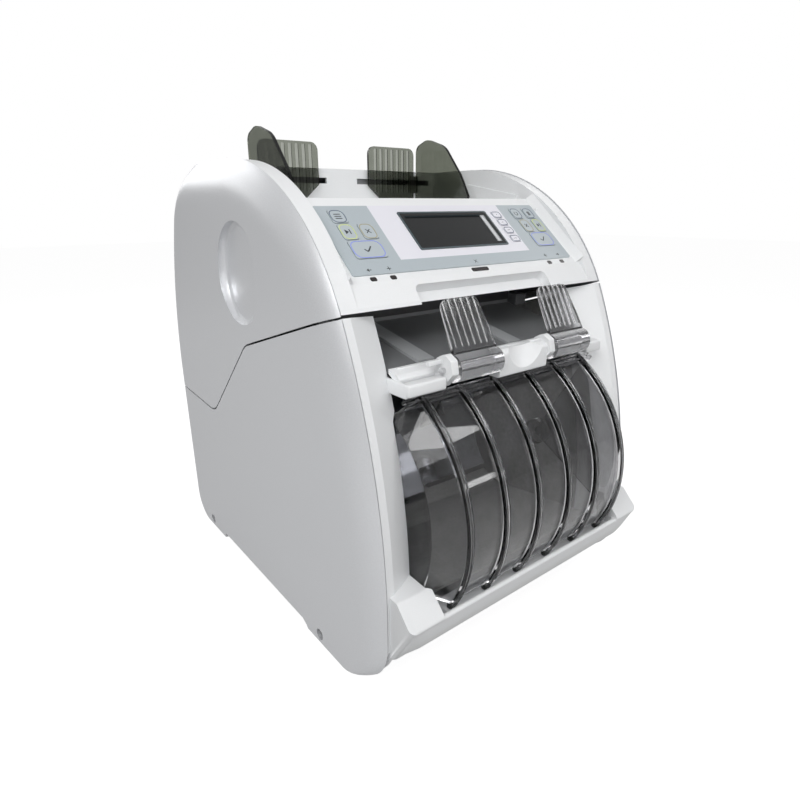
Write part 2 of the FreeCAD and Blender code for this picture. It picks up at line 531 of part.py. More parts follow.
# Top cover: curved rails with the recessed panel between them
ring = slab(0.8, -white_x, white_x).cut(slab(20.0, -SEAM_X, SEAM_X))
front_zone = prism([(-190, SPLIT[-1][1] + SPLIT_GAP / 2), (-60, SPLIT[-1][1] + SPLIT_GAP / 2), (-34, 290), (-34, 400), (-190, 400)],
                   -180, 180)
top_cover = ring.common(front_zone).common(UPPER)
side_rail = ring.common(box(RAIL_IN, SEAM_X + 10, -36, WALL_Y + 2.4, 300, 400))
top_in = on_panel(0, -9.0, 0)
well = [(top_in.y, top_in.z), (panel_front.y, panel_front.z), lip, (-124.0, 262.0), (-170.0, 262.0), (-170.0, 400.0),
        (-20.0, 400.0), (-20.0, top_in.z)]
well_cut = prism(well, -RAIL_IN, RAIL_IN)
bed_front = top_in.y + 2.6
top_cover = cut(top_cover, [well_cut, box(-RAIL_IN, RAIL_IN, bed_front, 0, 280, 400)])
lip_low = SPLIT[-1][1] + SPLIT_GAP / 2
plate = prism([(top_in.y, top_in.z), (panel_front.y, panel_front.z), lip, (lip[0], lip_low), (lip[0] + 19.5, lip_low),
               (lip[0] + 24.5, panel_front.z + 6.0), (top_in.y, top_in.z - 4.2)], -RAIL_IN - 0.5, RAIL_IN + 0.5)
lip_wall = prism([(top_in.y, top_in.z), (top_in.y, top_in.z - 40), (top_in.y + 2.6, top_in.z - 40),
                  (top_in.y + 2.6, top_in.z)], -FRAME_X + 0.5, FRAME_X - 0.5)
rail_slope = []
for s in (1, -1):
    a = [on_panel(s * (RAIL_IN - 4.5), -9.0, 0), on_panel(s * (RAIL_IN + 0.3), -9.0, 0),
         on_panel(s * (RAIL_IN + 0.3), -9.0, 6.5)]
    face = Part.Face(Part.makePolygon(a + [a[0]]))
    rail_slope.append(face.extrude(DOWN * (PANEL_LEN + 14.5)))
top_cover = fuse([top_cover, plate, lip_wall, side_rail, mirror(side_rail)] + rail_slope)
grip_cut = tile(-GRIP_HALF, GRIP_HALF, 73.5, 110.0, -9.0, 30.0, 5.0)
key_holes = [tile(x0 - KEY_GAP, x1 + KEY_GAP, v0 - KEY_GAP, v1 + KEY_GAP, -8, 4, 2.0 + KEY_GAP)
             for x0, x1, v0, v1 in keys.values()]
lcd = (-43.5, 47.5, 7.0, 45.0)
lcd_hole = tile(lcd[0] + 2, lcd[1] - 2, lcd[2] + 2, lcd[3] - 2, -8, 4, 1.0)
lens_xs = [(west + 11.6, west + 16.6), (west + 27.5, west + 32.5), (-8.5, 8.5),
           (east - 32.5, east - 27.5), (east - 16.6, east - 11.6)]
lens_holes = [tile(a, b, 64.6, 68.2, -8, 4, 1.2) for a, b in lens_xs]
wide_holes = [tile(x0 - 1, x1 + 1, v0 - 1, v1 + 1, -8, 0.2) for x0, x1, v0, v1 in keys.values()]
top_cover = cut(top_cover, [grip_cut, lcd_hole] + wide_holes + lens_holes)
top_tabs = [box(frame_out, RAIL_IN + 2.0, -60, -44, 285, 322)]
parts["top_cover"] = fuse([top_cover] + top_tabs + [mirror(t) for t in top_tabs])
overlay = tile(-PANEL_HALF, PANEL_HALF, 0, PANEL_LEN, 0, OVERLAY_T, 2.0)
overlay = cut(overlay, key_holes + [tile(lcd[0] - 0.1, lcd[1] + 0.1, lcd[2] - 0.1, lcd[3] + 0.1, -1, 3, 1.5)])
parts["panel_overlay"] = overlay
for name, (x0, x1, v0, v1) in keys.items():
    parts[name] = tile(x0, x1, v0, v1, key_low, OVERLAY_T + KEY_RAISE, 2.0)
bezel_l = tile(lcd[0], lcd[1], lcd[2], lcd[3], 0, OVERLAY_T + 0.4, 1.5)
bezel_l = bezel_l.cut(tile(lcd[0] + 4, lcd[1] - 4, lcd[2] + 4, lcd[3] - 4, -1, 3, 0.8))
parts["display_bezel"] = bezel_l
parts["display_glass"] = fuse([tile(lcd[0] + 2.2, lcd[1] - 2.2, lcd[2] + 2.2, lcd[3] - 2.2, -5.0, 0, 0.8)])
lenses = [tile(a + 0.1, b - 0.1, 64.7, 68.1, -2.5, 0.2, 1.1) for a, b in lens_xs]
parts["indicator_lenses"] = Part.makeCompound(lenses)

# Hopper bed with its rear wall and the guide slots
bed = prism([(bed_front, 300.0), (WALL_Y, 322.0), (WALL_Y, 358.0), (WALL_Y + 2.4, 358.0), (WALL_Y + 2.4, 319.0),
             (bed_front, 297.0)], -FRAME_X, FRAME_X)
slot = box(16.6, FRAME_X - 2.0, 60, 90, SLOT_Z - SLOT_H / 2, SLOT_Z + SLOT_H / 2)
slots = [slot, mirror(slot)]
pick_slots = [box(x - 8, x + 8, PICKUP_YZ[0] - 18, PICKUP_YZ[0] + 18, 280, 330) for x in (-35.0, 35.0)]
wing_y = bed_front + 11.5
wing = prism([(wing_y, 327.0), (WALL_Y, 327.0), (WALL_Y, 345.0), (30.0, 345.0), (wing_y, 334.0)], RAIL_IN - 2.0, RAIL_IN)
wing = wing.fuse(box(FRAME_X - 2, RAIL_IN, wing_y, WALL_Y, 325.0, 327.0))
wing = wing.fuse(prism([(bed_front, 298.0), (WALL_Y, 320.0), (WALL_Y, 326.0), (bed_front, 326.0)], FRAME_X - 2, FRAME_X))
wing = wing.fuse(box(FRAME_X - 2, RAIL_IN, WALL_Y, WALL_Y + 2.4, 325.0, 358.0))
bed = fuse([bed, wing, mirror(wing)])
parts["hopper_bed"] = cut(bed, slots + pick_slots)
pick = cyl_x(PICKUP_YZ[0], PICKUP_YZ[1], SHAFT_R, -frame_out, frame_out)
for x in (-35.0, 35.0):
    pick = pick.fuse(cyl_x(PICKUP_YZ[0], PICKUP_YZ[1], 16.0, x - 7, x + 7))
parts["pickup_roller"] = pick

# Upper frame: two plates tied by a bar, and the rear cover of the upper unit
plate_u = slab(36.0, FRAME_X, frame_out, 8.0).common(above(5.0))
plate_u = plate_u.cut(cyl_x(PICKUP_YZ[0], PICKUP_YZ[1], SHAFT_R + RUN_GAP, 100, 120))
bar = box(-FRAME_X, FRAME_X, 110, 114, 200, 230)
parts["upper_frame"] = fuse([plate_u, mirror(plate_u), bar])
rear_u = slab(0.8, -white_x, white_x).cut(slab(0.8 + WALL, -SEAM_X, SEAM_X))
rear_u = rear_u.common(box(-180, 180, WALL_Y + 2.4, 200, SPLIT_REAR_Z + 3, 400)).common(UPPER)
tabs_u = [box(frame_out, frame_out + 4, 120, 190, z, z + 14) for z in (180.0, 260.0)]
tabs_u = [t.common(slab(1.5, 60, 180)) for t in tabs_u]
parts["upper_rear_cover"] = fuse([rear_u] + tabs_u + [mirror(t) for t in tabs_u])

# Hinge at the rear: leaves and pins
pins_h = []
low_leaf = []
high_leaf = []
for x in (-80.0, 80.0):
    pins_h.append(cyl_x(HINGE_Y, HINGE_Z, 2.0, x - 18, x + 18))
    hole = cyl_x(HINGE_Y, HINGE_Z, 2.0 + RUN_GAP, x - 20, x + 20)
    tight = cyl_x(HINGE_Y, HINGE_Z, 2.0, x - 20, x + 20)
    for x0, x1 in ((x - 18, x - 8), (x + 8, x + 18)):
        leaf = cyl_x(HINGE_Y, HINGE_Z, HINGE_R, x0, x1).fuse(box(x0, x1, REAR_Y - 6.4, REAR_Y - 3.4, HINGE_Z - 22, HINGE_Z))
        low_leaf.append(leaf.cut(tight))
    knuckle = cyl_x(HINGE_Y, HINGE_Z, HINGE_R, x - 7.6, x + 7.6)
    strap = box(x - 7.6, x + 7.6, REAR_Y - 6.4, REAR_Y - 3.4, HINGE_Z, REAR_KNEE_Z)
    high_leaf.append(knuckle.fuse(strap).cut(hole))
parts["hinge_pins"] = Part.makeCompound(pins_h)
parts["lower_hinge_leaves"] = Part.makeCompound(low_leaf)
parts["upper_hinge_leaves"] = Part.makeCompound(high_leaf)
room = [cyl_x(HINGE_Y, HINGE_Z, HINGE_R + 0.8, x - 19, x + 19) for x in (-80.0, 80.0)]
parts["rear_cover"] = cut(parts["rear_cover"], room)
parts["upper_rear_cover"] = cut(parts["upper_rear_cover"], room)

# Hopper guides: side paddle, ribbed back plate, carrier and rack per side
paddle = prism([(78.6, 330.0), (78.2, 381.0), (61.0, 387.0), (36.0, 379.0), (13.0, 352.0), (0.9, 331.0)],
               GUIDE_X, GUIDE_X + GUIDE_T, [1.0, 8.0, 16.0, 24.0, 30.0, 2.0])
back = Part.Face(rounded([V(PLATE_IN, 74.4, 379.0), V(PLATE_OUT, 74.4, 379.0), V(PLATE_OUT, 74.4, 332.0),
                          V(PLATE_IN + 14, 74.4, 332.0), V(PLATE_IN, 74.4, 344.0)],
                         [7.0, 7.0, 2.0, 2.0, 2.0])).extrude(V(0, 2.4, 0))
grooves_b = [box(PLATE_IN + 6 + 6.6 * i, PLATE_IN + 9.4 + 6.6 * i, 74.0, 75.2, 338, 377) for i in range(7)]
back = cut(back, grooves_b)
joiner = box(PLATE_OUT - 3, GUIDE_X + 1, 74.4, 77.4, SLOT_Z - 10, SLOT_Z + 6)
parts["right_guide"] = fuse([paddle, back, joiner])
parts["left_guide"] = mirror(parts["right_guide"])
pinion_z = SLOT_Z - 14.0
rack_y = WALL_Y + 3.0
carrier_x = PLATE_OUT - 26.0
tongue = box(carrier_x, carrier_x + 20, 76.8, rack_y + 0.1, SLOT_Z - 1.8, SLOT_Z + 1.8)
high_rack = box(-3, carrier_x + 20, rack_y, rack_y + 5, pinion_z + 10.3, pinion_z + 16.3)
parts["right_rack"] = fuse([tongue, high_rack])
low_rack = fuse([box(-carrier_x - 20, 14, rack_y, rack_y + 5, pinion_z - 16.3, pinion_z - 10.3),
                 box(-carrier_x - 20, -carrier_x, rack_y, rack_y + 5, pinion_z - 16.3, SLOT_Z + 1.8), mirror(tongue)])
parts["left_rack"] = low_rack
pin_post = cyl_y(0, pinion_z, 3.0, WALL_Y + 2.4, rack_y + 6)
parts["hopper_bed"] = fuse([parts["hopper_bed"], pin_post])
parts["guide_pinion"] = cyl_y(0, pinion_z, 10.0, rack_y, rack_y + 5).cut(cyl_y(0, pinion_z, 3.0 + RUN_GAP, 70, 100))

os.makedirs("parts", exist_ok=True)
for name, shape in parts.items():
    shape = shape.copy()
    shape.translate(V(0, CENTRE_SHIFT, 0))
    shape.exportStep("parts/" + name + ".step")
    b = shape.BoundBox
    print("%-20s solids %d valid %s  X %.1f %.1f  Y %.1f %.1f  Z %.1f %.1f" % (
        name, len(shape.Solids), shape.isValid(), b.XMin, b.XMax, b.YMin, b.YMax, b.ZMin, b.ZMax))
print("nodes", len(parts), "shift", CENTRE_SHIFT)
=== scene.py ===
import math
import bmesh
import bpy
from mathutils import Matrix, Vector


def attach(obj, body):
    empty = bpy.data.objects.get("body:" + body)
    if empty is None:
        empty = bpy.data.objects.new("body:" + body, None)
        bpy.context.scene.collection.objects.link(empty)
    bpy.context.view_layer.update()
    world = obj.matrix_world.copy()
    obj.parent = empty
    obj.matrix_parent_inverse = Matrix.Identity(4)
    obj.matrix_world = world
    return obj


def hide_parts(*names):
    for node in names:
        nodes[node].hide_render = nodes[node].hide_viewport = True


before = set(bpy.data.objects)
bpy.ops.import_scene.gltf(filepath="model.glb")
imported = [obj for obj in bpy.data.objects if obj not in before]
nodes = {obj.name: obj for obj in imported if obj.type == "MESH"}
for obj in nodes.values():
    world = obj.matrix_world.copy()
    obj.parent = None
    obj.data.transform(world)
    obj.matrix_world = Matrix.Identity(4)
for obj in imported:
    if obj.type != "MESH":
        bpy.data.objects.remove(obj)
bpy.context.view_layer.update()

# Sizes are millimetres of the part, whose y is moved by the shift that centres it
MM = 0.001
SHIFT_Y = 3.35
FULL_TURN = 2 * math.pi

# Camera of the photograph, in metres and degrees
CAM_POS = (-0.3073, -0.39885, 0.3237)
CAM_YAW = 37.86
CAM_PITCH = 18.74
CAM_ROLL = 0.40
CAM_LENS = 25.51
CAM_SENSOR = 36.0
CAM_NEAR = 0.01

# Studio: strengths of floor and background for each kind of ray
FLOOR_HALF = 6
FLOOR_GLOW = 0.90
FLOOR_SHINE = 0.4
FLOOR_TONE = 0.30
WORLD_GLOW = 1.0
WORLD_LIGHT = 0.28
WORLD_SHINE = 0.4

# Lamps: name, place, aim, size in metres and power
LAMPS = (
    ("top", (0.0, 0.1, 1.5), (0, 0, 0.2), (1.2, 1.2), 1.0),
    ("left", (-0.8, -0.55, 0.9), (-0.1, 0, 0.25), (0.7, 0.5), 7.5),
    ("front", (0.05, -1.35, 0.55), (0, 0, 0.2), (0.9, 0.5), 4.3),
    ("right", (1.5, 0.3, 0.9), (0, 0, 0.2), (0.9, 0.9), 5.0),
    ("rear", (-0.5, 1.5, 1.0), (0, 0, 0.2), (0.9, 0.9), 5.0),
    ("window", (0.62, -0.72, 0.98), (0, -0.15, 0.15), (0.26, 0.3), 1.4),
    ("strip", (0.63, -1.13, 0.3), (0, -0.15, 0.15), (0.3, 0.08), 0.5),
)

# Grain of the materials: detail, used range of the noise, and depth in metres
GRAIN_DETAIL = 4.0
GRAIN_RANGE = (0.3, 0.7)
GRAIN_DEEP = 0.0003

# Control panel: slope, pale field of the film, and how far prints sink into it
PANEL_SLOPE = math.radians(41.2)
PALE = (0.77, 0.765, 0.82)
PALE_HALF = 65.9
PALE_DEPTH = 52.5
PRINT_SINK = 0.05

# Keys: outline and sign, with their round and size as shares of the key's shorter side
KEY_SIGNS = {
    "key_menu": ("slate", "list"),
    "key_left_start": ("lime", "play"),
    "key_left_clear": ("khaki", "cross"),
    "key_left_accept": ("blue", "tick"),
    "key_f1": ("slate", "dots1"),
    "key_f2": ("slate", "dots2"),
    "key_f3": ("slate", "dots3"),
    "key_f4": ("slate", "dots4"),
    "key_right_mode": ("slate", "ring"),
    "key_right_batch": ("slate", "stack"),
    "key_right_clear": ("khaki", "cross"),
    "key_right_start": ("lime", "play"),
    "key_right_accept": ("blue", "tick"),
}
KEY_INSET = 0.15
KEY_LINE = 0.6
KEY_LINE_UP = 0.1
KEY_ROUND = 0.36
KEY_SIGN = 0.24
KEY_SIGN_UP = 0.06
LEAST_ROUND = 0.3

# Marks above the indicator lamps
LAMP_MARKS = ((-95.9, "left"), (-80.0, "plus"), (0.0, "cross"), (80.0, "plus"), (95.9, "right"))
MARK_V = 59.2
MARK_HALF = 2.1
MARK_UP = 0.04

# Display: dark mask on the rim, and the screen's holder along its right edge
MASK_INSET = 1.5
MASK_W = 2.7
MASK_R = 1.0
MASK_SINK = 0.1
MASK_UP = 0.06
HOLDER_LEFT = 8.2
HOLDER_RIGHT = 4.2
HOLDER_END = 4.3
HOLDER_LOW = 1.3
HOLDER_HIGH = 0.5

# Stacker door: a barrel turned about its axis, with twin ribs, rails and hubs
DOOR_Y = -84.7
DOOR_Z = 121.0
DOOR_R = 100.0
DOOR_T = 2.4
DOOR_TAPER = 14.0
DOOR_HALF = 102.0
DOOR_HUB = 8.0
DOOR_CHAMFER_X = 0.6
DOOR_CHAMFER_R = 0.8
DOOR_LOW = -30.0
DOOR_HIGH = 60.0
DOOR_STEPS = 54
DOOR_SHARP = 38
PLATE_T = 2.0
RIB_XS = [83.25 * (i - 2.5) / 2.5 for i in range(6)]
RIB_W = 4.4
RIB_H = 3.0
RIB_FOOT = 1.6
RIB_FLARE = 0.5
RIB_TOE = 0.1
RIB_TOE_H = 0.25
RIDGE_R = 0.85
RIB_OVERRUN = 2.6
POCKET_HALF = 99.0
RAIL_IN = 1.5
RAIL_H = 2.2
RAIL_CHAMFER = 0.6
RAIL_SPANS = ((3.2, 2.2), (1.0, 0.0))
HUB_STEPS = ((12.0, -PLATE_T, 7.0), (4.0, 7.0, 10.0))
TIP_DROP = 3.0
TIP_OUT = 0.8
TIP_LOW = (-3.0, -1.9, -1.4)
TIP_HIGH = (3.0, 2.0, 2.6)
TIP_EDGE = 1.3

# Side covers: outline, rolled edge, split line, arch, finger dish and screw bosses
SIDE_X = 140.0
SEAM_X = 130.6
FRONT_Y = -160.0
REAR_Y = 177.0
TOP_Z = 358.9
COVER_Z = 6.0
WALL = 2.6
KNEE_Z = 70.0
REAR_KNEE_Z = 165.0
OUTLINE_R = {"low": 470.0, "up": 164.0, "top": 60.0, "rear": 350.0, "toe": 44.0, "heel": 30.0}
OUTLINE_STEPS = {"low": 20, "up": 40, "top": 20, "rear": 14, "heel": 12, "toe": 16}
ROLL = 35.0
ROLL_REAR = 5.0
ROLL_BASE = 2.2
ROLL_POWER = 3.2
ROLL_EASE = 1.5
ROLL_STEPS = 14
ROLL_REST = 2.0
SPLIT = [(260.0, 157.0), (90.9, 147.5), (6.7, 224.1), (-122.0, 263.1)]
SPLIT += [(-260.0, 263.1), (-260.0, 500.0), (260.0, 500.0)]
SPLIT_R = [0, 24.0, 28.0, 0, 0, 0, 0]
SPLIT_GAP = 1.5
ARCH = [(104.0, 0.0), (104.0, 10.0), (100.0, 13.0), (-58.0, 13.0), (-64.0, 10.0), (-72.0, 0.0)]
HINGE_RELIEF = [(174.5, 100.0), (200.0, 100.0), (200.0, 154.8), (174.5, 154.8)]
CUT_X = (90.0, 200.0)
CUT_SPARE = 5.0
GRIP = (7.0, 278.0)
GRIP_R = 38.0
GRIP_DEEP = 7.5
GRIP_FRONT = -22.0
GRIP_BACK = 47.0
GRIP_FOOT = ((0.0, 4.0), (1.2, 1.2), (4.0, 0.0))
GRIP_OUT = 14.0
BOSS_IN = 112.0
BOSS_R = 6.0
BOSS_BITE = 0.5
HEAD_R = 4.6
HEAD_DEEP = 5.0
DRILL_R = 1.7
LOW_SCREWS = [(-85.0, 15.0), (134.0, 15.0)]
LOW_BOSSES = [(-100.0, 150.0), (120.0, 120.0)]
TOP_BOSSES = [(60.0, 215.0), (60.0, 315.0), (-20.0, 275.0)]
COVER_SHARP = 28
FLAT_AREA = 3e-4

# Copies of solids: distance in metres at which points join, angle in degrees at which faces join
MERGE = 1e-6
FLAT_ANGLE = 0.5

# Front bezel: rounded ends of the chin, and the roll along its leaning front face
CHIN_FRONT = -181.0
CHIN_Z = 71.0
CHIN_LOW = (-160.0, 36.5)
CHIN_HALF = 127.5
CHIN_END_R = 6.0
CHIN_LEAN = (CHIN_LOW[0] - CHIN_FRONT) / (CHIN_Z - CHIN_LOW[1])
CORNER_SIDE = 6.0
CORNER_AHEAD = 12.0
CORNER_SPARE = 8.0
BEZEL_SHARP = 14
CHIN_BULGE = 4.0
CHIN_SINK = 0.4
CHIN_SPARE = 3.0
CHIN_START = 0.06
CHIN_SPAN = 0.92
CHIN_FADE = 0.45
CHIN_ROWS = 40
CHIN_COLUMNS = 14
CHIN_SHARP = 40

# Shelf: the dish between the brackets, wide with square shoulders
DISH_CENTRE = (4.3, -162.0, 233.0)
DISH_HALF = 24.0
DISH_R = 24.0
DISH_POWER = 0.25
SHELF_SHARP = 18

# Small mouldings of the machine: low corner, high corner and edge
WHITE_BOXES = {
    "chin_ledge": ((-97.0, -173.5, 59.5), (97.0, -156.0, 63.2), 0.8),
    "shelf_step_left": ((-100.8, -145.4, 212.2), (-69.0, -136.4, 220.5), 1.5),
    "shelf_step_right": ((82.0, -145.4, 212.2), (100.8, -136.4, 220.5), 1.5),
    "shelf_end_left": ((-101.0, -142.0, 211.0), (-98.0, -118.0, 220.5), 0.8),
    "shelf_end_right": ((98.0, -142.0, 211.0), (101.0, -118.0, 220.5), 0.8),
    "left_bracket_stub": ((-79.5, -139.5, 228.0), (-68.0, -136.5, 231.0), 0.6),
    "right_bracket_stub": ((18.5, -139.5, 228.0), (30.0, -136.5, 231.0), 0.6),
}
# Sheet of painted shade before the reject pocket's rear wall: low corner, high corner and edge
SHADE_BOX = ((-97.0, -46.8, 243.0), (97.0, -46.1, 257.5), 0.2)


# A point of the part, in the scene's metres
def at(x, y, z):
    return Vector((x, y + SHIFT_Y, z)) * MM


def linked(name, data):
    obj = bpy.data.objects.new(name, data)
    bpy.context.scene.collection.objects.link(obj)
    return obj


def add_camera():
    yaw, pitch, roll = (math.radians(a) for a in (CAM_YAW, CAM_PITCH, CAM_ROLL))
    ahead = Vector((math.sin(yaw) * math.cos(pitch), math.cos(yaw) * math.cos(pitch), -math.sin(pitch)))
    right = Vector((math.cos(yaw), -math.sin(yaw), 0))
    down = ahead.cross(right)
    rolled_right = right * math.cos(roll) + down * math.sin(roll)
    rolled_down = down * math.cos(roll) - right * math.sin(roll)
    data = bpy.data.cameras.new("camera")
    data.lens = CAM_LENS
    data.sensor_width = CAM_SENSOR
    data.clip_start = CAM_NEAR
    cam = linked("camera", data)
    turn = Matrix((rolled_right, -rolled_down, -ahead)).transposed()
    cam.matrix_world = Matrix.Translation(CAM_POS) @ turn.to_4x4()
    bpy.context.scene.camera = cam


# Materials: a principled shader with fine grain in colour, roughness and bump
def material(name, color, roughness, metallic=0.0, grain=900.0, mottle=0.03, bump=0.02, spread=0.06, **extra):
    mat = bpy.data.materials.new(name)
    mat.use_nodes = True
    tree = mat.node_tree
    shader = tree.nodes["Principled BSDF"]
    shader.inputs["Metallic"].default_value = metallic
    for key, value in extra.items():
        shader.inputs[key.replace("_", " ")].default_value = value
    coords = tree.nodes.new("ShaderNodeTexCoord")
    noise = tree.nodes.new("ShaderNodeTexNoise")
    noise.inputs["Scale"].default_value = grain
    noise.inputs["Detail"].default_value = GRAIN_DETAIL
    tree.links.new(coords.outputs["Object"], noise.inputs["Vector"])
    ramp = tree.nodes.new("ShaderNodeValToRGB")
    first, last = ramp.color_ramp.elements
    first.position, last.position = GRAIN_RANGE
    first.color = [max(c - mottle * c, 0) for c in color] + [1]
    last.color = [min(c + mottle * c, 1) for c in color] + [1]
    tree.links.new(noise.outputs["Fac"], ramp.inputs["Fac"])
    tree.links.new(ramp.outputs["Color"], shader.inputs["Base Color"])
    rough = tree.nodes.new("ShaderNodeMapRange")
    rough.inputs["To Min"].default_value = max(roughness - spread, 0.0)
    rough.inputs["To Max"].default_value = roughness + spread
    tree.links.new(noise.outputs["Fac"], rough.inputs["Value"])
    tree.links.new(rough.outputs["Result"], shader.inputs["Roughness"])
    if bump > 0:
        relief = tree.nodes.new("ShaderNodeBump")
        relief.inputs["Strength"].default_value = bump
        relief.inputs["Distance"].default_value = GRAIN_DEEP
        tree.links.new(noise.outputs["Fac"], relief.inputs["Height"])
        tree.links.new(relief.outputs["Normal"], shader.inputs["Normal"])
    return mat


# Smoked plastic that darkens with its thickness
def absorb(mat, color, density):
    tree = mat.node_tree
    volume = tree.nodes.new("ShaderNodeVolumeAbsorption")
    volume.inputs["Color"].default_value = (*color, 1.0)
    volume.inputs["Density"].default_value = density
    tree.links.new(volume.outputs["Volume"], tree.nodes["Material Output"].inputs["Volume"])


# One step of arithmetic on two numbers or sockets
def math_node(tree, kind, a, b):
    node = tree.nodes.new("ShaderNodeMath")
    node.operation = kind
    for socket, value in zip(node.inputs, (a, b)):
        if isinstance(value, (int, float)):
            socket.default_value = value
        else:
            tree.links.new(value, socket)
    return node.outputs[0]


CLEAR = {"bump": 0.0, "Transmission_Weight": 1.0, "IOR": 1.45}
PRINT = {"grain": 1800.0, "bump": 0.0}
silver = material("silver_paint", (0.72, 0.73, 0.75), 0.33, 0.45, grain=2600.0, mottle=0.07, bump=0.03)
white = material("white_plastic", (0.80, 0.81, 0.82), 0.38, grain=1500.0, mottle=0.015, bump=0.05)
film = material("panel_film", (0.43, 0.48, 0.51), 0.33, grain=1800.0, mottle=0.03)
key_face = material("key_face", (0.45, 0.50, 0.53), 0.34, grain=1800.0, mottle=0.02)
key_pale = material("key_pale", PALE, 0.34, grain=1800.0, mottle=0.02)
black = material("black_plastic", (0.018, 0.02, 0.02), 0.42, grain=1600.0, mottle=0.2, bump=0.06)
rim = material("display_rim", (0.06, 0.085, 0.095), 0.35, grain=1600.0, mottle=0.1, bump=0.03)
screen = material("display", (0.012, 0.013, 0.014), 0.16, grain=300.0, mottle=0.1, bump=0.0, spread=0.03)
lens = material("lens", (0.03, 0.025, 0.025), 0.2, grain=600.0, mottle=0.1, bump=0.0)
smoke = material("smoke", (0.88, 0.88, 0.88), 0.06, grain=120.0, mottle=0.05, spread=0.03, **CLEAR)
absorb(smoke, (0.50, 0.52, 0.46), 1050.0)
stopper = material("smoke_stopper", (0.61, 0.61, 0.62), 0.12, grain=160.0, mottle=0.05, spread=0.04, **CLEAR)
smoke_door = material("smoke_door", (0.60, 0.60, 0.61), 0.03, grain=90.0, mottle=0.06, spread=0.03, **CLEAR)
dark = material("dark_liner", (0.03, 0.03, 0.032), 0.5, grain=1200.0, mottle=0.2, bump=0.05)
polished = material("polished_plate", (0.42, 0.43, 0.46), 0.08, 1.0, grain=260.0, mottle=0.1, bump=0.02)
pocket_floor = material("pocket_floor", (0.38, 0.38, 0.365), 0.4, grain=500.0, mottle=0.12, bump=0.03)
grey = material("grey_plastic", (0.20, 0.205, 0.21), 0.4, grain=1200.0, mottle=0.03, bump=0.04)
arm_grey = material("arm_grey", (0.36, 0.37, 0.38), 0.35, grain=1200.0, mottle=0.03, bump=0.03)
# Grey of the reject pocket, darkened beyond its own tone as painted shade inside the pocket
pocket_grey_and_shade = material("pocket_grey_and_shade", (0.17, 0.175, 0.18), 0.4, grain=1200.0, mottle=0.03, bump=0.04)
zinc = material("zinc_plate", (0.42, 0.42, 0.41), 0.45, 0.35, grain=300.0, mottle=0.12, bump=0.02)
steel = material("sheet_steel", (0.50, 0.51, 0.52), 0.35, 1.0, grain=700.0, mottle=0.08)
chrome = material("bright_steel", (0.66, 0.66, 0.67), 0.2, 1.0, grain=800.0, mottle=0.05)
rubber = material("rubber", (0.02, 0.02, 0.02), 0.75, grain=1400.0, mottle=0.2, bump=0.1)
board = material("circuit_board", (0.02, 0.10, 0.045), 0.4, grain=350.0, mottle=0.3, bump=0.05)
ink = material("print_ink", (0.04, 0.045, 0.05), 0.5, mottle=0.1, **PRINT)
inks = {
    "slate": material("ink_slate", (0.10, 0.13, 0.19), 0.45, mottle=0.06, **PRINT),
    "lime": material("ink_lime", (0.62, 0.70, 0.22), 0.45, mottle=0.06, **PRINT),
    "khaki": material("ink_khaki", (0.38, 0.34, 0.20), 0.45, mottle=0.06, **PRINT),
    "blue": material("ink_blue", (0.24, 0.29, 0.78), 0.45, mottle=0.06, **PRINT),
}

# Which solids have which material; the other keys have the plain key face
FINISH = (
    (silver, ("lower_left_cover", "lower_right_cover", "upper_left_cover", "upper_right_cover")),
    (white, ("front_bezel", "top_cover", "hopper_bed", "pocket_shelf", "upper_rear_cover", "rear_cover")),
    (film, ("panel_overlay",)),
    (key_pale, ("key_f1", "key_f2", "key_f3", "key_f4")),
    (rim, ("display_bezel",)),
    (screen, ("display_glass",)),
    (lens, ("indicator_lenses",)),
    (black, ("power_inlet", "power_rocker", "cover_screws")),
    (smoke, ("left_guide", "right_guide")),
    (stopper, ("left_stopper", "right_stopper")),
    (smoke_door, ("stacker_door",)),
    (dark, ("upper_frame",)),
    (polished, ("stacker_back",)),
    (pocket_floor, ("stacker_floor",)),
    (grey, ("left_rack", "right_rack", "guide_pinion")),
    (arm_grey, ("pocket_arms",)),
    (pocket_grey_and_shade, ("reject_pocket",)),
    (zinc, ("left_frame", "right_frame")),
    (steel, ("base_plate", "power_supply", "main_motor", "lower_hinge_leaves", "upper_hinge_leaves")),
    (chrome, ("hinge_pins", "stopper_rods", "motor_pulley")),
    (rubber, ("rubber_feet", "drive_belt", "stacker_wheels", "transport_roller", "pickup_roller")),
    (board, ("control_board",)),
)
finish = {name: mat for mat, names in FINISH for name in names}
for name, obj in nodes.items():
    obj.data.materials.clear()
    obj.data.materials.append(finish.get(name, key_face))


# Panel plane: x across, v down the slope, n outwards from the film
def world_points(name):
    obj = nodes[name]
    return [obj.matrix_world @ v.co for v in obj.data.vertices]


DOWN = Vector((0, -math.cos(PANEL_SLOPE), -math.sin(PANEL_SLOPE)))
OUT = Vector((0, -math.sin(PANEL_SLOPE), math.cos(PANEL_SLOPE)))
FILM = world_points("panel_overlay")
FILM_V = min(p.dot(DOWN) for p in FILM)
FILM_N = max(p.dot(OUT) for p in FILM)


def on_panel(x, v, n):
    return Vector((x, 0, 0)) + DOWN * (FILM_V + v) + OUT * (FILM_N + n)


def panel_rect(name):
    points = world_points(name)
    xs = [p.x for p in points]
    vs = [p.dot(DOWN) - FILM_V for p in points]
    return min(xs), max(xs), min(vs), max(vs), max(p.dot(OUT) for p in points) - FILM_N


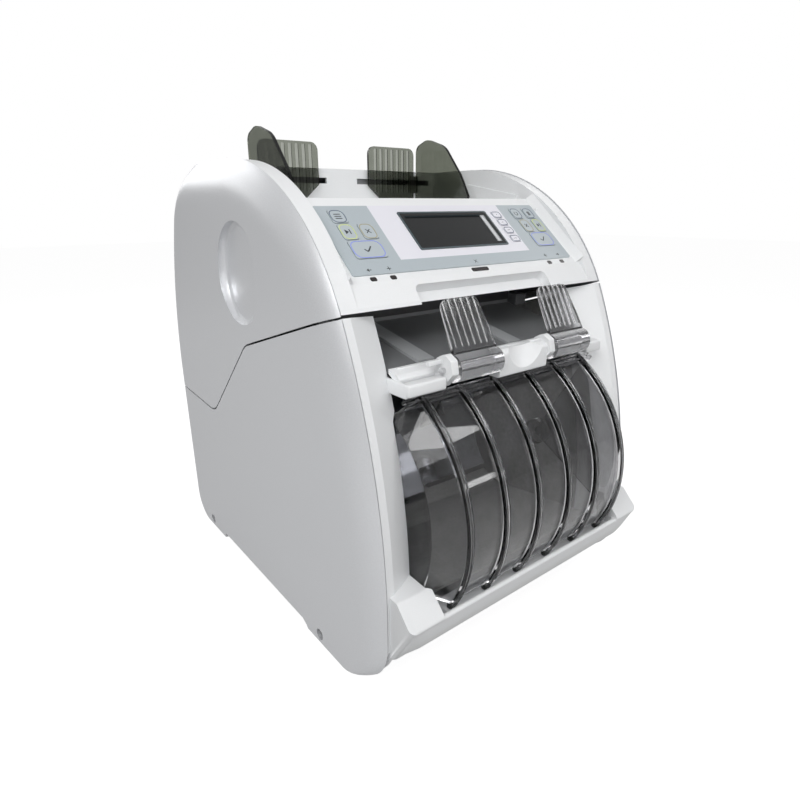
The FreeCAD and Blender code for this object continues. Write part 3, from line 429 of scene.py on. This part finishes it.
# The pale field in the middle of the film, as a mask in the film's own coordinates
def pale_field(mat, obj):
    tree = mat.node_tree
    shader = tree.nodes["Principled BSDF"]
    base = shader.inputs["Base Color"].links[0].from_socket
    to_obj = obj.matrix_world.inverted()
    origin = to_obj @ on_panel(0, 0, 0)
    down = to_obj.to_3x3() @ DOWN
    coords = tree.nodes.new("ShaderNodeTexCoord")
    across = tree.nodes.new("ShaderNodeSeparateXYZ")
    tree.links.new(coords.outputs["Object"], across.inputs[0])
    away = tree.nodes.new("ShaderNodeVectorMath")
    away.operation = "DOT_PRODUCT"
    away.inputs[1].default_value = down
    tree.links.new(coords.outputs["Object"], away.inputs[0])
    offset = math_node(tree, "SUBTRACT", across.outputs[0], origin.x)
    side = math_node(tree, "ABSOLUTE", offset, 0.0)
    in_x = math_node(tree, "LESS_THAN", side, PALE_HALF * MM)
    in_v = math_node(tree, "LESS_THAN", away.outputs["Value"], origin.dot(down) + PALE_DEPTH * MM)
    mix = tree.nodes.new("ShaderNodeMix")
    mix.data_type = "RGBA"
    tree.links.new(math_node(tree, "MULTIPLY", in_x, in_v), mix.inputs["Factor"])
    plain, pale = (s for s in mix.inputs if s.type == "RGBA")
    tree.links.new(base, plain)
    pale.default_value = (*PALE, 1.0)
    result = [s for s in mix.outputs if s.type == "RGBA"][0]
    tree.links.new(result, shader.inputs["Base Color"])


pale_field(film, nodes["panel_overlay"])


# Mesh helpers
def mesh_from(bm, name):
    mesh = bpy.data.meshes.new(name)
    bm.to_mesh(mesh)
    bm.free()
    return mesh


def outward_mesh(bm, name):
    bmesh.ops.recalc_face_normals(bm, faces=bm.faces)
    return mesh_from(bm, name)


def smooth(mesh, sharp):
    mesh.shade_smooth()
    mesh.set_sharp_from_angle(angle=math.radians(sharp))


def add_object(name, mesh, mat, body):
    obj = linked(name, mesh)
    mesh.materials.append(mat)
    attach(obj, body)
    return obj


# Rings of points joined into a skin
def skin(bm, rows):
    for low, high in zip(rows, rows[1:]):
        for i in range(len(low)):
            j = (i + 1) % len(low)
            bm.faces.new((low[i], low[j], high[j], high[i]))


# A skin with a face over each end
def capped(bm, rows):
    skin(bm, rows)
    bm.faces.new(rows[0][::-1])
    bm.faces.new(rows[-1])


# Flat closed loops on the panel, each raised from n0 to n1
def raised_loops(name, loops, n0, n1, mat, body):
    bm = bmesh.new()
    for loop in loops:
        capped(bm, [[bm.verts.new(on_panel(x, v, n)) for x, v in loop] for n in (n0, n1)])
    return add_object(name, outward_mesh(bm, name), mat, body)


def rounded_loop(x0, x1, v0, v1, r, steps=5):
    corners = ((x1 - r, v0 + r, -90), (x1 - r, v1 - r, 0), (x0 + r, v1 - r, 90), (x0 + r, v0 + r, 180))
    loop = []
    for cx, cv, start in corners:
        for k in range(steps + 1):
            a = math.radians(start + 90 * k / steps)
            loop.append((cx + r * math.cos(a), cv + r * math.sin(a)))
    return loop


# A raised outline between two rounded rectangles
def outline_ring(name, rect, inset, width, r, n0, n1, mat, body):
    x0, x1, v0, v1 = rect
    outer = rounded_loop(x0 + inset, x1 - inset, v0 + inset, v1 - inset, r)
    inset += width
    inner = rounded_loop(x0 + inset, x1 - inset, v0 + inset, v1 - inset, max(r - width, LEAST_ROUND * MM))
    bm = bmesh.new()
    rows = []
    for loop, n in ((outer, n0), (outer, n1), (inner, n1), (inner, n0)):
        rows.append([bm.verts.new(on_panel(x, v, n)) for x, v in loop])
    skin(bm, rows + rows[:1])
    return add_object(name, outward_mesh(bm, name), mat, body)


# Plain signs, drawn in a square of plus or minus one
def bar(ax, av, bx, bv, w):
    dx, dv = bx - ax, bv - av
    size = math.hypot(dx, dv)
    px, pv = -dv / size * w / 2, dx / size * w / 2
    return [(ax + px, av + pv), (ax - px, av - pv), (bx - px, bv - pv), (bx + px, bv + pv)]


def circle_point(x, v, r, degrees):
    return (x + r * math.cos(math.radians(degrees)), v + r * math.sin(math.radians(degrees)))


def dots(count):
    places = [(i - (count - 1) / 2) * 0.62 for i in range(count)]
    return [[circle_point(x, 0.0, 0.2, a) for a in range(0, 360, 30)] for x in places]


def open_ring():
    spots = [circle_point(0.0, 0.0, 0.75, a) for a in range(-60, 250, 30)]
    return [bar(*a, *b, 0.24) for a, b in zip(spots, spots[1:])]


SIGNS = {
    "list": [bar(-0.9, v, 0.9, v, 0.26) for v in (-0.7, 0.0, 0.7)],
    "play": [[(-0.8, -0.8), (-0.8, 0.8), (0.25, 0.0)], bar(0.62, -0.8, 0.62, 0.8, 0.3)],
    "cross": [bar(-0.65, -0.65, 0.65, 0.65, 0.24), bar(-0.65, 0.65, -0.1, 0.1, 0.24),
              bar(0.1, -0.1, 0.65, -0.65, 0.24)],
    "tick": [bar(-0.8, 0.0, -0.25, 0.6, 0.26), bar(-0.18, 0.52, 0.85, -0.65, 0.26)],
    "ring": open_ring(),
    "stack": [[(-0.9, v), (0.0, v - 0.4), (0.9, v), (0.0, v + 0.18)] for v in (-0.45, 0.15, 0.75)],
    "plus": [bar(-0.8, 0, 0.8, 0, 0.3), bar(0, -0.8, 0, -0.15, 0.3), bar(0, 0.15, 0, 0.8, 0.3)],
    "left": [[(-0.9, 0.0), (0.0, -0.7), (0.0, 0.7)], bar(0.0, 0, 0.9, 0, 0.3)],
    "right": [[(0.9, 0.0), (0.0, 0.7), (0.0, -0.7)], bar(-0.9, 0, 0.0, 0, 0.3)],
    "dots1": dots(1),
    "dots2": dots(2),
    "dots3": dots(3),
    "dots4": dots(4),
}


def place_sign(kind, x, v, half):
    return [[(x + half * a, v + half * b) for a, b in loop] for loop in SIGNS[kind]]


# Keys: coloured outline and sign, riding with each key
for key, (color, kind) in KEY_SIGNS.items():
    x0, x1, v0, v1, top = panel_rect(key)
    side = min(x1 - x0, v1 - v0)
    low = top - PRINT_SINK * MM
    outline_ring(key + "_outline", (x0, x1, v0, v1), KEY_INSET * MM, KEY_LINE * MM, KEY_ROUND * side,
                 low, top + KEY_LINE_UP * MM, inks[color], key)
    loops = place_sign(kind, (x0 + x1) / 2, (v0 + v1) / 2, KEY_SIGN * side)
    raised_loops(key + "_sign", loops, low, top + KEY_SIGN_UP * MM, ink, key)

# Marks of the indicator lamps, printed on the film
marks = []
for x, kind in LAMP_MARKS:
    marks += place_sign(kind, x * MM, MARK_V * MM, MARK_HALF * MM)
raised_loops("lamp_marks", marks, -PRINT_SINK * MM, MARK_UP * MM, ink, "upper_unit")

# Display: dark mask inside the rim and the bright edge of the screen's holder
x0, x1, v0, v1, top = panel_rect("display_bezel")
outline_ring("display_mask", (x0, x1, v0, v1), MASK_INSET * MM, MASK_W * MM, MASK_R * MM,
             top - MASK_SINK * MM, top + MASK_UP * MM, screen, "upper_unit")
left, right = x1 - HOLDER_LEFT * MM, x1 - HOLDER_RIGHT * MM
upper, lower = v0 + HOLDER_END * MM, v1 - HOLDER_END * MM
holder = [(left, upper), (right, upper), (right, lower), (left, lower)]
raised_loops("display_holder", [holder], top - HOLDER_LOW * MM, top - HOLDER_HIGH * MM, silver, "upper_unit")


# A box with rounded edges
def soft_box(name, low, high, edge, mat, body):
    bm = bmesh.new()
    bmesh.ops.create_cube(bm, size=1.0)
    low = at(*low)
    high = at(*high)
    for v in bm.verts:
        v.co = Vector([low[i] if v.co[i] < 0 else high[i] for i in range(3)])
    bmesh.ops.bevel(bm, geom=list(bm.edges), offset=edge * MM, segments=3, affect="EDGES", profile=0.5)
    mesh = mesh_from(bm, name)
    mesh.shade_smooth()
    return add_object(name, mesh, mat, body)


# A point about the door's axis
def door_point(x, r, degrees):
    a = math.radians(degrees)
    return x, DOOR_Y - r * math.cos(a), DOOR_Z + r * math.sin(a)


# A closed section of (x, radius) points turned about the door's axis between two angles
def turned(bm, section, a0, a1, steps):
    rows = []
    for k in range(steps + 1):
        a = a0 + (a1 - a0) * k / steps
        rows.append([bm.verts.new(at(*door_point(x, r, a))) for x, r in section])
    capped(bm, rows)


# Points of one half of a section, and the same points mirrored
def with_mirror(points):
    return points + [(-x, r) for x, r in reversed(points)]


# Twin ridge of one rib across its width, from the barrel up and back
def rib_section(x):
    half = RIB_W / 2
    crest = DOOR_R + RIB_H - RIDGE_R
    foot = [(-half - RIB_FOOT, DOOR_R), (-half - RIB_FLARE, DOOR_R), (-half - RIB_TOE, DOOR_R + RIB_TOE_H)]
    ridges = [circle_point(centre, crest, RIDGE_R, 180 - 30 * k)
              for centre in (-half + RIDGE_R, half - RIDGE_R) for k in range(7)]
    other_foot = [(-dx, r) for dx, r in reversed(foot)]
    return [(x + dx, r) for dx, r in foot + ridges + other_foot]


def door_section():
    end_r = DOOR_R - DOOR_TAPER
    end = [(-DOOR_HALF, DOOR_HUB), (-DOOR_HALF, end_r - DOOR_CHAMFER_R), (-DOOR_HALF + DOOR_CHAMFER_X, end_r)]
    ribs = [point for x in RIB_XS for point in rib_section(x)]
    other_end = [(-x, r) for x, r in reversed(end)]
    plate = DOOR_HALF - PLATE_T
    inner = [(plate, DOOR_HUB), (plate, end_r - DOOR_T), (RIB_XS[-1], DOOR_R - DOOR_T)]
    return end + ribs + other_end + with_mirror(inner)


def stacker_door():
    bm = bmesh.new()
    turned(bm, door_section(), DOOR_LOW, DOOR_HIGH, DOOR_STEPS)
    for x in RIB_XS:
        turned(bm, rib_section(x), DOOR_LOW - RIB_OVERRUN, DOOR_LOW, 3)
    edge = POCKET_HALF - RAIL_IN
    top = DOOR_R + RAIL_H
    rail = with_mirror([(-edge, DOOR_R - DOOR_T), (-edge, top - RAIL_CHAMFER), (-edge + RAIL_CHAMFER, top)])
    for start, stop in RAIL_SPANS:
        turned(bm, rail, DOOR_HIGH - start, DOOR_HIGH - stop, 2)
    along_x = Matrix.Rotation(math.pi / 2, 4, "Y")
    for side in (-1, 1):
        for radius, start, stop in HUB_STEPS:
            place = Matrix.Translation(at(side * (DOOR_HALF + (start + stop) / 2), DOOR_Y, DOOR_Z))
            bmesh.ops.create_cone(bm, cap_ends=True, segments=40, radius1=radius * MM, radius2=radius * MM,
                                  depth=(stop - start) * MM, matrix=place @ along_x)
    mesh = outward_mesh(bm, "smoke_door")
    smooth(mesh, DOOR_SHARP)
    door = add_object("smoke_door", mesh, smoke_door, "door")
    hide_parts("stacker_door")


stacker_door()


# Side covers: smooth shells in place of the plainer solids
def arc_points(centre, radius, a0, a1, count):
    turns = [a0 + (a1 - a0) * k / count for k in range(count)]
    return [(centre[0] + radius * math.cos(a), centre[1] + radius * math.sin(a)) for a in turns]


# The side outline moved inwards by separate amounts at front and top, rear, and bottom
def side_outline(inset, rear, bottom):
    low_r, up_r, top_r, toe = (OUTLINE_R[k] - inset for k in ("low", "up", "top", "toe"))
    back_r, heel = (OUTLINE_R[k] - rear for k in ("rear", "heel"))
    steps = OUTLINE_STEPS
    front, back, top, base = FRONT_Y + inset, REAR_Y - rear, TOP_Z - inset, COVER_Z + bottom
    c_low = (front + low_r, KNEE_Z)
    rise = top - up_r - KNEE_Z
    c_up = (c_low[0] - math.sqrt((low_r - up_r) ** 2 - rise ** 2), top - up_r)
    c_back = (back - back_r, REAR_KNEE_Z)
    lift = top - top_r - REAR_KNEE_Z
    c_top = (c_back[0] + math.sqrt((back_r - top_r) ** 2 - lift ** 2), top - top_r)
    knee = math.atan2(c_up[1] - c_low[1], c_up[0] - c_low[0])
    nape = math.atan2(c_top[1] - c_back[1], c_top[0] - c_back[0])
    half = math.pi / 2
    points = [(front, base + toe)]
    points += arc_points(c_low, low_r, math.pi, knee, steps["low"])
    points += arc_points(c_up, up_r, knee, half, steps["up"])
    points += [(c_up[0], top)]
    points += arc_points(c_top, top_r, half, nape, steps["top"])
    points += arc_points(c_back, back_r, nape, 0, steps["rear"])
    points += [(back, REAR_KNEE_Z)]
    points += arc_points((back - heel, base + heel), heel, 0, -half, steps["heel"])
    points += [(back - heel, base)]
    points += arc_points((front + toe, base + toe), toe, -half, -math.pi, steps["toe"])
    return points


# Corners of a closed line rounded by their own radii
def filleted(points, radii, steps=8):
    result = []
    for i, (p, r) in enumerate(zip(points, radii)):
        if r == 0:
            result.append(p)
            continue
        p, a, b = Vector(p), Vector(points[i - 1]), Vector(points[(i + 1) % len(points)])
        to_a, to_b = (a - p).normalized(), (b - p).normalized()
        half = to_a.angle(to_b) / 2
        centre = p + (to_a + to_b).normalized() * r / math.sin(half)
        start, stop = p + to_a * r / math.tan(half), p + to_b * r / math.tan(half)
        for k in range(steps + 1):
            way = ((start - centre).lerp(stop - centre, k / steps)).normalized()
            result.append(tuple(centre + way * r))
    return result


# A loose closed solid through rings of (x, y, z) points
def loose_solid(name, rings):
    bm = bmesh.new()
    capped(bm, [[bm.verts.new(at(*p)) for p in ring] for ring in rings])
    return linked(name, outward_mesh(bm, name))


# A closed solid through rings of (y, z) points, each at its own x
def lofted(name, rings):
    return loose_solid(name, [[(x, y, z) for y, z in loop] for x, loop in rings])


def prism(points, x0, x1):
    return lofted("tool", [(x0, points), (x1, points)])


# Round posts or drills along x, joined into one solid
def posts(spots, radius, x0, x1):
    made = [prism(arc_points(spot, radius, 0, FULL_TURN, 32), x0, x1) for spot in spots]
    bm = bmesh.new()
    for one in made:
        bm.from_mesh(one.data)
    bm.to_mesh(made[0].data)
    bm.free()
    for one in made[1:]:
        bpy.data.objects.remove(one)
    return made[0]


# The mesh of a solid with another one taken away, added or kept in common
def combine(obj, tool, kind):
    change = obj.modifiers.new("change", "BOOLEAN")
    change.operation = kind
    change.solver = "EXACT"
    change.object = tool
    done = bpy.data.meshes.new_from_object(obj.evaluated_get(bpy.context.evaluated_depsgraph_get()))
    obj.modifiers.clear()
    obj.data = done
    bpy.data.objects.remove(tool)


# Rings of the rolled edge, from the seam to the flat side, moved inwards by a wall
def roll_rings(wall):
    rings = []
    for k in range(ROLL_STEPS + 1):
        share = (k / ROLL_STEPS) ** ROLL_EASE
        x = SIDE_X - (SIDE_X - SEAM_X) * (1 - share) ** ROLL_POWER
        insets = (inset * share + wall for inset in (ROLL, ROLL_REAR, ROLL_BASE))
        rings.append((x - wall, side_outline(*insets)))
    insets = (inset + ROLL_REST + wall for inset in (ROLL, ROLL_REAR, ROLL_BASE))
    rings.append((rings[-1][0], side_outline(*insets)))
    return rings


# The finger dish: shallow at the front, deepest at the rear, with a rounded foot
def grip_dish():
    slope = GRIP_DEEP / (GRIP_BACK - GRIP_FRONT)
    rings = [[(SIDE_X + GRIP_OUT, y, z) for y, z in arc_points(GRIP, GRIP_R, 0, FULL_TURN, 96)]]
    for shrink, lift in GRIP_FOOT:
        loop = arc_points(GRIP, GRIP_R - shrink, 0, FULL_TURN, 96)
        rings.append([(SIDE_X - slope * (y - GRIP_FRONT) + lift, y, z) for y, z in loop])
    return loose_solid("dish", rings)


def split_tool(shift):
    return prism(filleted([(y, z + shift) for y, z in SPLIT], SPLIT_R), *CUT_X)


def upper_cover(shell):
    upper = linked("upper", shell.data.copy())
    combine(upper, split_tool(SPLIT_GAP / 2), "INTERSECT")
    combine(upper, prism(HINGE_RELIEF, *CUT_X), "DIFFERENCE")
    combine(upper, posts(TOP_BOSSES, BOSS_R, BOSS_IN, SIDE_X - WALL + BOSS_BITE), "UNION")
    combine(upper, grip_dish(), "DIFFERENCE")
    return upper


def lower_cover(shell):
    lower = linked("lower", shell.data.copy())
    combine(lower, split_tool(-SPLIT_GAP / 2), "DIFFERENCE")
    combine(lower, posts(LOW_SCREWS + LOW_BOSSES, BOSS_R, BOSS_IN, SIDE_X - WALL + BOSS_BITE), "UNION")
    combine(lower, posts(LOW_SCREWS, HEAD_R, SIDE_X - HEAD_DEEP, SIDE_X + CUT_SPARE), "DIFFERENCE")
    combine(lower, posts(LOW_SCREWS, DRILL_R, CUT_X[0], SIDE_X), "DIFFERENCE")
    return lower


# One cover, turned over for its side, with its large faces left flat
def side_cover(part, side, turn, source, body):
    bm = bmesh.new()
    bm.from_mesh(source.data)
    bmesh.ops.scale(bm, vec=(turn, 1, 1), verts=bm.verts)
    name = "%s_%s_shell" % (part, side)
    mesh = outward_mesh(bm, name)
    smooth(mesh, COVER_SHARP)
    for face in mesh.polygons:
        face.use_smooth = face.area < FLAT_AREA
    cover = add_object(name, mesh, silver, body)
    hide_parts("%s_%s_cover" % (part, side))


def side_covers():
    shell = lofted("shell", roll_rings(0.0))
    hollow = lofted("hollow", roll_rings(WALL))
    behind = arc_points(GRIP, GRIP_R + WALL, 0, FULL_TURN, 48)
    combine(hollow, prism(behind, SIDE_X - GRIP_DEEP - WALL, SIDE_X + CUT_SPARE), "DIFFERENCE")
    combine(shell, hollow, "DIFFERENCE")
    combine(shell, prism(ARCH, *CUT_X), "DIFFERENCE")
    covers = (("upper", upper_cover(shell), "upper_unit"), ("lower", lower_cover(shell), "machine"))
    for part, source, body in covers:
        side_cover(part, "left", -1, source, body)
        side_cover(part, "right", 1, source, body)
        bpy.data.objects.remove(source)
    bpy.data.objects.remove(shell)


side_covers()


# A copy of one solid's mesh, with flat faces joined
def cad_copy(node, name, mat, body):
    source = nodes[node]
    bm = bmesh.new()
    bm.from_mesh(source.data)
    bm.transform(source.matrix_world)
    bmesh.ops.remove_doubles(bm, verts=bm.verts, dist=MERGE)
    bmesh.ops.dissolve_limit(bm, angle_limit=math.radians(FLAT_ANGLE), verts=bm.verts, edges=bm.edges)
    return add_object(name, mesh_from(bm, name), mat, body)


# A corner to take off one end of the chin, leaning with its front face
def chin_corner(side):
    centre_x, centre_y = CHIN_HALF - CHIN_END_R, CHIN_FRONT + CHIN_END_R
    outer_x, outer_y = CHIN_HALF + CORNER_SIDE, CHIN_FRONT - CORNER_AHEAD
    plan = [(outer_x, centre_y), (outer_x, outer_y), (centre_x, outer_y)]
    plan += arc_points((centre_x, centre_y), CHIN_END_R, -math.pi / 2, 0, 10) + [(CHIN_HALF, centre_y)]
    rings = []
    for z in (CHIN_Z + CORNER_SPARE, CHIN_LOW[1] - CORNER_SPARE):
        lean = (CHIN_Z - z) * CHIN_LEAN
        rings.append([(side * x, y + lean, z) for x, y in plan])
    return loose_solid("corner", rings)


def front_bezel():
    shell = cad_copy("front_bezel", "bezel_shell", white, "machine")
    for side in (-1, 1):
        combine(shell, chin_corner(side), "DIFFERENCE")
    smooth(shell.data, BEZEL_SHARP)
    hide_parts("front_bezel")


# A shallow roll laid on the chin's front face, fading towards its ends
def chin_roll():
    along = Vector((CHIN_LOW[0] - CHIN_FRONT, CHIN_LOW[1] - CHIN_Z))
    outward = Vector((along.y, -along.x)).normalized()
    bm = bmesh.new()
    rows = []
    for k in range(CHIN_ROWS + 1):
        share = -math.cos(math.pi * k / CHIN_ROWS)
        x = (CHIN_HALF - CHIN_SPARE) * share
        fade = min(1.0, math.sqrt(max(1 - share * share, 0.0)) / CHIN_FADE)
        row = []
        for i in range(CHIN_COLUMNS + 1):
            down = CHIN_START + CHIN_SPAN * i / CHIN_COLUMNS
            swell = CHIN_BULGE * fade * math.sin(math.pi * i / CHIN_COLUMNS) - CHIN_SINK
            p = Vector((CHIN_FRONT, CHIN_Z)) + along * down + outward * swell
            row.append(bm.verts.new(at(x, p.x, p.y)))
        rows.append(row)
    capped(bm, rows)
    mesh = outward_mesh(bm, "chin_roll")
    smooth(mesh, CHIN_SHARP)
    add_object("chin_roll", mesh, white, "machine")


front_bezel()
chin_roll()


# Shelf moulding: the dish between the brackets is cut wider, with square shoulders
def dish_cutter():
    bm = bmesh.new()
    bmesh.ops.create_uvsphere(bm, u_segments=48, v_segments=32, radius=1.0)
    for v in bm.verts:
        reach = math.sqrt(max(1 - v.co.z ** 2, 0.0))
        wide = math.copysign((1 - reach ** 2) ** DISH_POWER, v.co.z) if reach < 1 else 0.0
        v.co = at(*(Vector((DISH_HALF * wide, DISH_R * v.co.x, DISH_R * v.co.y)) + Vector(DISH_CENTRE)))
    return linked("cutter", outward_mesh(bm, "cutter"))


shelf = cad_copy("pocket_shelf", "shelf_moulding", white, "machine")
combine(shelf, dish_cutter(), "DIFFERENCE")
smooth(shelf.data, SHELF_SHARP)
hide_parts("pocket_shelf")

# Dark nubs at the lower ends of the ribs
for i, x in enumerate(RIB_XS):
    tip = Vector(door_point(x, DOOR_R + TIP_OUT, DOOR_LOW - TIP_DROP))
    soft_box("rib_tip_%d" % (i + 1), tip + Vector(TIP_LOW), tip + Vector(TIP_HIGH), TIP_EDGE, black, "door")

# Ledge of the chin, steps and ends of the shelf, and stubs beside the stopper brackets
for name, (low, high, edge) in WHITE_BOXES.items():
    soft_box(name, low, high, edge, white, "machine")

# Dark sheet of painted shade in front of the reject pocket's rear wall, standing in for the shadow there
soft_box("pocket_shade", *SHADE_BOX, dark, "machine")


# How bright a surface looks: seen straight or through glass, in reflections, and at least to all other rays
def ray_level(tree, glow, shine, least):
    path = tree.nodes.new("ShaderNodeLightPath")
    level = least
    for ray, strength in (("Is Camera Ray", glow), ("Is Glossy Ray", shine), ("Is Transmission Ray", glow)):
        part = math_node(tree, "MULTIPLY", path.outputs[ray], strength)
        level = math_node(tree, "MAXIMUM", part, level)
    return level


# A pale floor that keeps the shadow and looks white
def add_floor():
    mesh = bpy.data.meshes.new("floor")
    corners = [(x * FLOOR_HALF, y * FLOOR_HALF, 0) for x, y in ((-1, -1), (1, -1), (1, 1), (-1, 1))]
    mesh.from_pydata(corners, [], [(0, 1, 2, 3)])
    mat = bpy.data.materials.new("floor")
    mat.use_nodes = True
    tree = mat.node_tree
    tree.nodes.clear()
    out = tree.nodes.new("ShaderNodeOutputMaterial")
    add = tree.nodes.new("ShaderNodeAddShader")
    diffuse = tree.nodes.new("ShaderNodeBsdfDiffuse")
    diffuse.inputs["Color"].default_value = (FLOOR_TONE, FLOOR_TONE, FLOOR_TONE, 1)
    glow = tree.nodes.new("ShaderNodeEmission")
    tree.links.new(ray_level(tree, FLOOR_GLOW, FLOOR_SHINE, 0.0), glow.inputs["Strength"])
    tree.links.new(diffuse.outputs[0], add.inputs[0])
    tree.links.new(glow.outputs[0], add.inputs[1])
    tree.links.new(add.outputs[0], out.inputs["Surface"])
    mesh.materials.append(mat)
    linked("floor", mesh)


# A white background with a dimmer light of its own
def add_world():
    world = bpy.data.worlds.new("studio")
    world.use_nodes = True
    bpy.context.scene.world = world
    tree = world.node_tree
    back = tree.nodes["Background"]
    back.inputs["Color"].default_value = (1, 1, 1, 1)
    tree.links.new(ray_level(tree, WORLD_GLOW, WORLD_SHINE, WORLD_LIGHT), back.inputs["Strength"])


def add_lamp(name, pos, aim, size, power):
    data = bpy.data.lights.new(name, "AREA")
    data.shape = "RECTANGLE"
    data.size, data.size_y = size
    data.energy = power
    obj = linked(name, data)
    obj.location = pos
    obj.rotation_euler = (Vector(aim) - Vector(pos)).to_track_quat("-Z", "Y").to_euler()


bpy.context.scene.view_settings.view_transform = "Standard"
add_camera()
add_floor()
add_world()
for one in LAMPS:
    add_lamp(*one)
